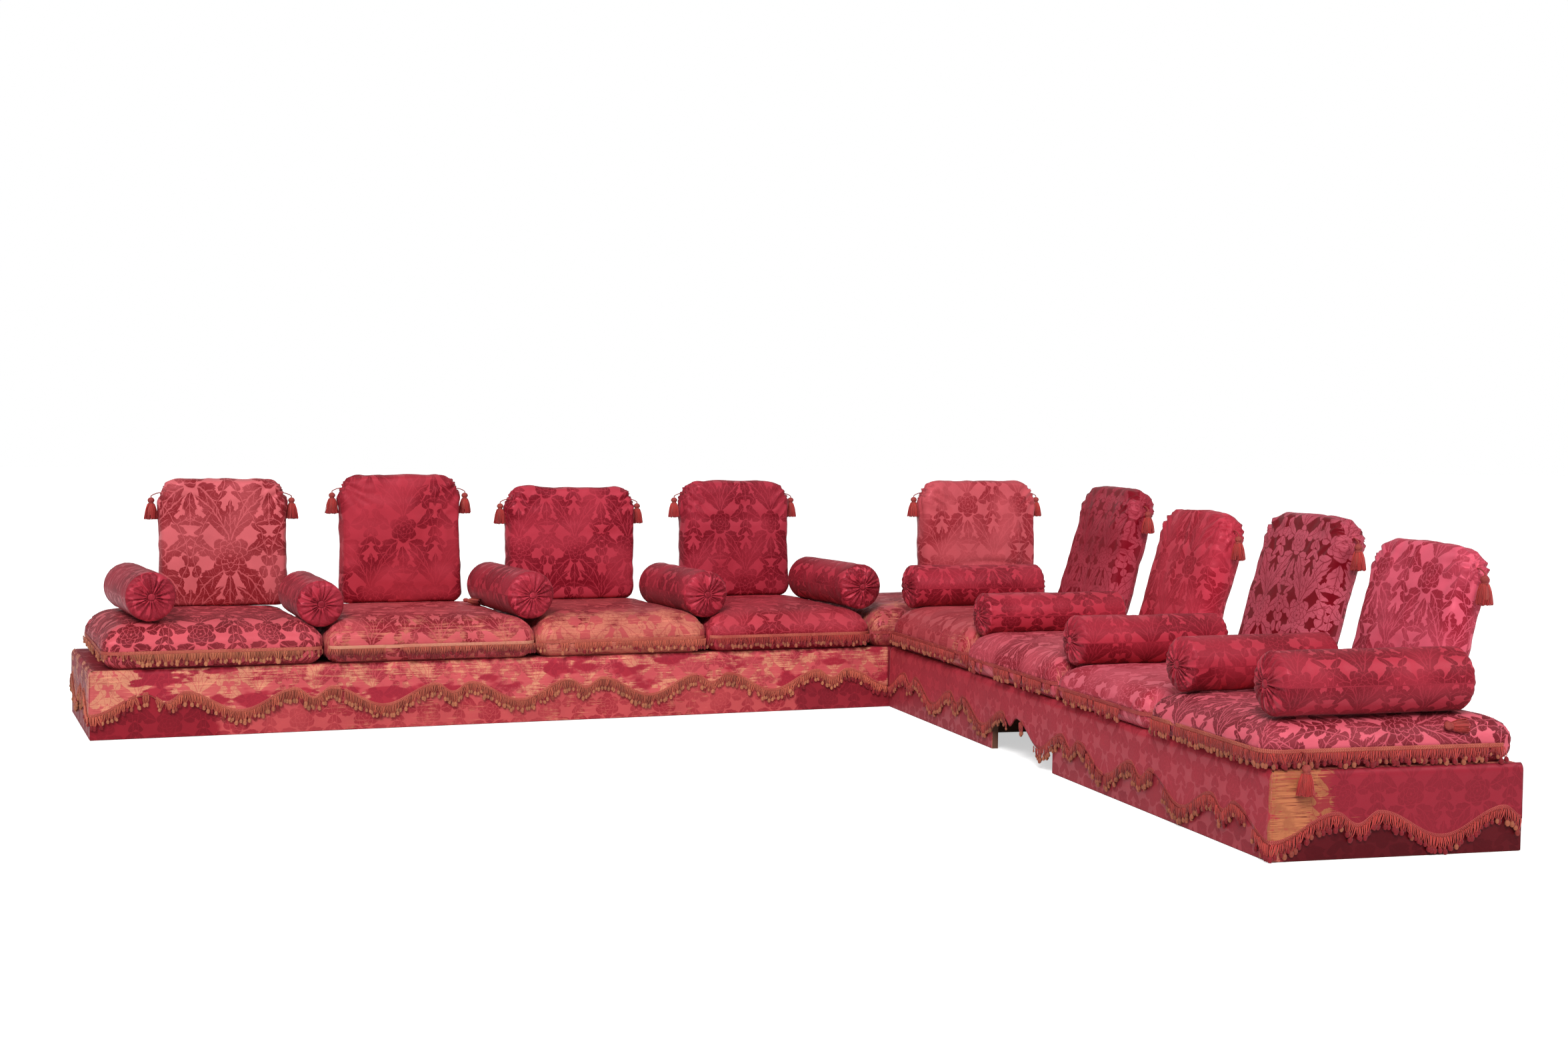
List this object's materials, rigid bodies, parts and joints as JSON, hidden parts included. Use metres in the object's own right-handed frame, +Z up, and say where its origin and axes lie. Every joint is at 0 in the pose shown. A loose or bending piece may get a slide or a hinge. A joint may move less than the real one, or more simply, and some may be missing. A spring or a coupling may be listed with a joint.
{
  "type": "corner banquette",
  "caption": "Corner banquette: fabric covered base in two butted runs with a scalloped fringed valance, loose seat and back cushions, tassels and bolsters.",
  "frame": {"origin": "centre of the footprint on the floor", "axes": "+Z up; +Y towards the wall behind the left run; +X towards the corner; the right run goes towards -Y, turned by the corner angle"},
  "size_m": [4.0075, 3.9776, 0.9197],
  "materials": {
    "crimson_damask": "worn silk damask, satin",
    "faded_damask": "faded silk damask, satin",
    "base_cloth": "worn silk, satin",
    "fringe_silk": "looped silk, soft sheen",
    "wadding": "matt felted wool",
    "pine": "sawn softwood, matt",
    "iron": "dark bolts, satin"
  },
  "bodies": {
    "base": {"left_frame": "pine", "right_frame": "pine", "cross_bearers": "pine", "corner_blocks": "pine", "deck_boards": "pine", "joining_bolts": "iron", "left_pad": "wadding", "right_pad": "wadding", "left_cover": "base_cloth", "right_cover": "base_cloth", "left_valance": "faded_damask", "right_valance": "crimson_damask", "left_fringe": "fringe_silk", "right_fringe": "fringe_silk"},
    "seat_1": {"seat_cushion_1": "crimson_damask", "seat_fringe_1": "fringe_silk"},
    "seat_2": {"seat_cushion_2": "crimson_damask", "seat_fringe_2": "fringe_silk"},
    "seat_3": {"seat_cushion_3": "crimson_damask", "seat_fringe_3": "fringe_silk"},
    "seat_4": {"seat_cushion_4": "crimson_damask", "seat_fringe_4": "fringe_silk"},
    "seat_5": {"seat_cushion_5": "crimson_damask", "seat_fringe_5": "fringe_silk"},
    "seat_6": {"seat_cushion_6": "crimson_damask", "seat_fringe_6": "fringe_silk"},
    "seat_7": {"seat_cushion_7": "crimson_damask", "seat_fringe_7": "fringe_silk"},
    "seat_8": {"seat_cushion_8": "crimson_damask", "seat_fringe_8": "fringe_silk"},
    "seat_9": {"seat_cushion_9": "crimson_damask", "seat_fringe_9": "fringe_silk"},
    "back_1": {"back_cushion_1": "crimson_damask", "back_tassels_1": "fringe_silk"},
    "back_2": {"back_cushion_2": "crimson_damask", "back_tassels_2": "fringe_silk"},
    "back_3": {"back_cushion_3": "crimson_damask", "back_tassels_3": "fringe_silk"},
    "back_4": {"back_cushion_4": "crimson_damask", "back_tassels_4": "fringe_silk"},
    "back_5": {"back_cushion_5": "crimson_damask", "back_tassels_5": "fringe_silk"},
    "back_6": {"back_cushion_6": "crimson_damask", "back_tassels_6": "fringe_silk"},
    "back_7": {"back_cushion_7": "crimson_damask", "back_tassels_7": "fringe_silk"},
    "back_8": {"back_cushion_8": "crimson_damask", "back_tassels_8": "fringe_silk"},
    "back_9": {"back_cushion_9": "crimson_damask", "back_tassels_9": "fringe_silk"},
    "roll_1": {"bolster_1": "crimson_damask"},
    "roll_2": {"bolster_2": "crimson_damask"},
    "roll_3": {"bolster_3": "crimson_damask"},
    "roll_4": {"bolster_4": "crimson_damask"},
    "roll_5": {"bolster_5": "crimson_damask"},
    "roll_6": {"bolster_6": "crimson_damask"},
    "roll_7": {"bolster_7": "crimson_damask"},
    "roll_8": {"bolster_8": "crimson_damask"},
    "roll_9": {"bolster_9": "crimson_damask"},
    "roll_10": {"bolster_10": "crimson_damask"}
  },
  "joints": [
    {"name": "seat_1_slide", "type": "slide", "parent": "base", "child": "seat_1", "axis": [0, -1, 0], "range_m": [0, 0.2]},
    {"name": "seat_2_slide", "type": "slide", "parent": "base", "child": "seat_2", "axis": [0, -1, 0], "range_m": [0, 0.2]},
    {"name": "seat_3_slide", "type": "slide", "parent": "base", "child": "seat_3", "axis": [0, -1, 0], "range_m": [0, 0.2]},
    {"name": "seat_4_slide", "type": "slide", "parent": "base", "child": "seat_4", "axis": [0, -1, 0], "range_m": [0, 0.2]},
    {"name": "corner_seat_lift", "type": "slide", "parent": "base", "child": "seat_5", "axis": [0, 0, 1], "range_m": [0, 0.2]},
    {"name": "seat_6_slide", "type": "slide", "parent": "base", "child": "seat_6", "axis": [-0.9925, 0.1219, 0], "range_m": [0, 0.035]},
    {"name": "seat_7_slide", "type": "slide", "parent": "base", "child": "seat_7", "axis": [-0.9925, 0.1219, 0], "range_m": [0, 0.2]},
    {"name": "seat_8_slide", "type": "slide", "parent": "base", "child": "seat_8", "axis": [-0.9925, 0.1219, 0], "range_m": [0, 0.2]},
    {"name": "seat_9_slide", "type": "slide", "parent": "base", "child": "seat_9", "axis": [-0.9925, 0.1219, 0], "range_m": [0, 0.2]},
    {"name": "back_1_lift", "type": "slide", "parent": "base", "child": "back_1", "axis": [0, 0, 1], "range_m": [0, 0.2]},
    {"name": "back_2_lift", "type": "slide", "parent": "base", "child": "back_2", "axis": [0, 0, 1], "range_m": [0, 0.2]},
    {"name": "back_3_lift", "type": "slide", "parent": "base", "child": "back_3", "axis": [0, 0, 1], "range_m": [0, 0.2]},
    {"name": "back_4_lift", "type": "slide", "parent": "base", "child": "back_4", "axis": [0, 0, 1], "range_m": [0, 0.2]},
    {"name": "back_5_lift", "type": "slide", "parent": "seat_5", "child": "back_5", "axis": [0, 0, 1], "range_m": [0, 0.2]},
    {"name": "back_6_lift", "type": "slide", "parent": "base", "child": "back_6", "axis": [0, 0, 1], "range_m": [0, 0.2]},
    {"name": "back_7_lift", "type": "slide", "parent": "base", "child": "back_7", "axis": [0, 0, 1], "range_m": [0, 0.2]},
    {"name": "back_8_lift", "type": "slide", "parent": "base", "child": "back_8", "axis": [0, 0, 1], "range_m": [0, 0.2]},
    {"name": "back_9_lift", "type": "slide", "parent": "base", "child": "back_9", "axis": [0, 0, 1], "range_m": [0, 0.2]},
    {"name": "roll_1_lift", "type": "slide", "parent": "seat_1", "child": "roll_1", "axis": [0, 0, 1], "range_m": [0, 0.2]},
    {"name": "roll_2_lift", "type": "slide", "parent": "base", "child": "roll_2", "axis": [0, 0, 1], "range_m": [0, 0.2]},
    {"name": "roll_3_lift", "type": "slide", "parent": "base", "child": "roll_3", "axis": [0, 0, 1], "range_m": [0, 0.2]},
    {"name": "roll_4_lift", "type": "slide", "parent": "base", "child": "roll_4", "axis": [0, 0, 1], "range_m": [0, 0.2]},
    {"name": "roll_5_lift", "type": "slide", "parent": "seat_5", "child": "roll_5", "axis": [0, 0, 1], "range_m": [0, 0.2]},
    {"name": "roll_6_lift", "type": "slide", "parent": "seat_6", "child": "roll_6", "axis": [0, 0, 1], "range_m": [0, 0.2]},
    {"name": "roll_7_lift", "type": "slide", "parent": "base", "child": "roll_7", "axis": [0, 0, 1], "range_m": [0, 0.2]},
    {"name": "roll_8_lift", "type": "slide", "parent": "base", "child": "roll_8", "axis": [0, 0, 1], "range_m": [0, 0.2]},
    {"name": "roll_9_lift", "type": "slide", "parent": "base", "child": "roll_9", "axis": [0, 0, 1], "range_m": [0, 0.2]},
    {"name": "roll_10_lift", "type": "slide", "parent": "seat_9", "child": "roll_10", "axis": [0, 0, 1], "range_m": [0, 0.2]}
  ]
}
